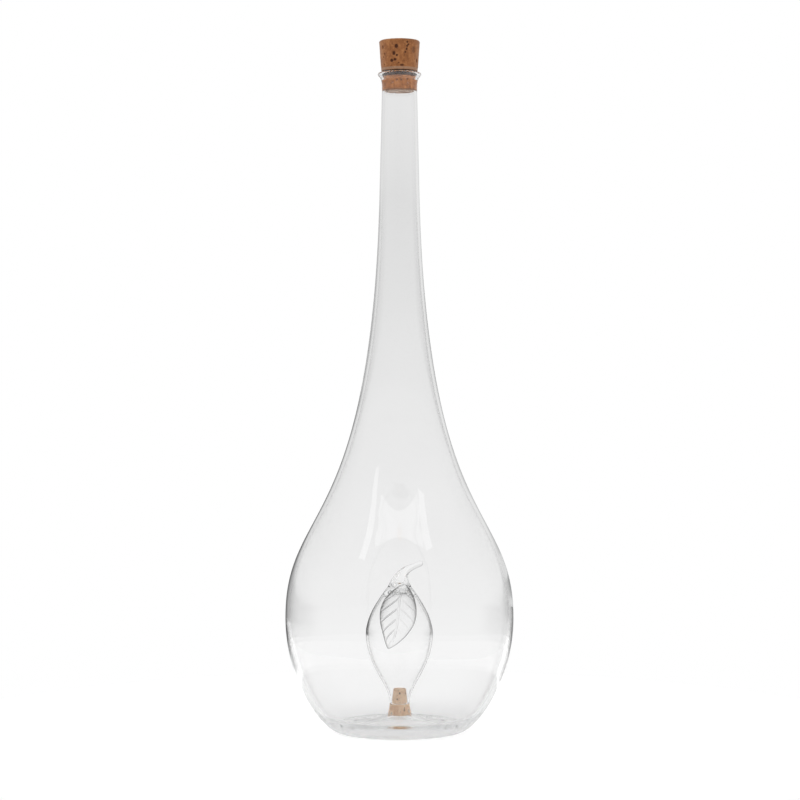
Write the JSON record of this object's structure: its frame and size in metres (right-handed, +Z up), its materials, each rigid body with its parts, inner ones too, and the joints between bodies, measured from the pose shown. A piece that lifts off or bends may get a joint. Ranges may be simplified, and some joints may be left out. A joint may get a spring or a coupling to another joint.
{
  "type": "corked glass bottle",
  "caption": "Teardrop glass bottle with a long neck and tapered cork, holding a fruit-shaped glass vessel that is filled and corked from the base.",
  "frame": {"origin": "centre of the ring that the bottle stands on, at table level", "axes": "+Z up along the bottle's axis to the cork, +X to the right as seen from the front, -Y towards the viewer, on the side where the leaf hangs"},
  "size_m": [0.114, 0.114, 0.345],
  "materials": {
    "clear_glass": "fire-polished, colourless",
    "natural_cork": "matte, with dark pores",
    "pale_cork": "matte, fine pores"
  },
  "bodies": {
    "bottle": {"bottle_body": "clear_glass", "inner_vessel": "clear_glass", "vessel_stem": "clear_glass", "leaf": "clear_glass"},
    "neck_stopper": {"neck_cork": "natural_cork"},
    "filler_stopper": {"filler_cork": "pale_cork"}
  },
  "joints": [
    {"name": "neck_cork_pull", "type": "slide", "parent": "bottle", "child": "neck_stopper", "axis": [0, 0, 1], "range_m": [0, 0.04]},
    {"name": "filler_cork_pull", "type": "slide", "parent": "bottle", "child": "filler_stopper", "axis": [0, 0, -1], "range_m": [0, 0.03]}
  ]
}
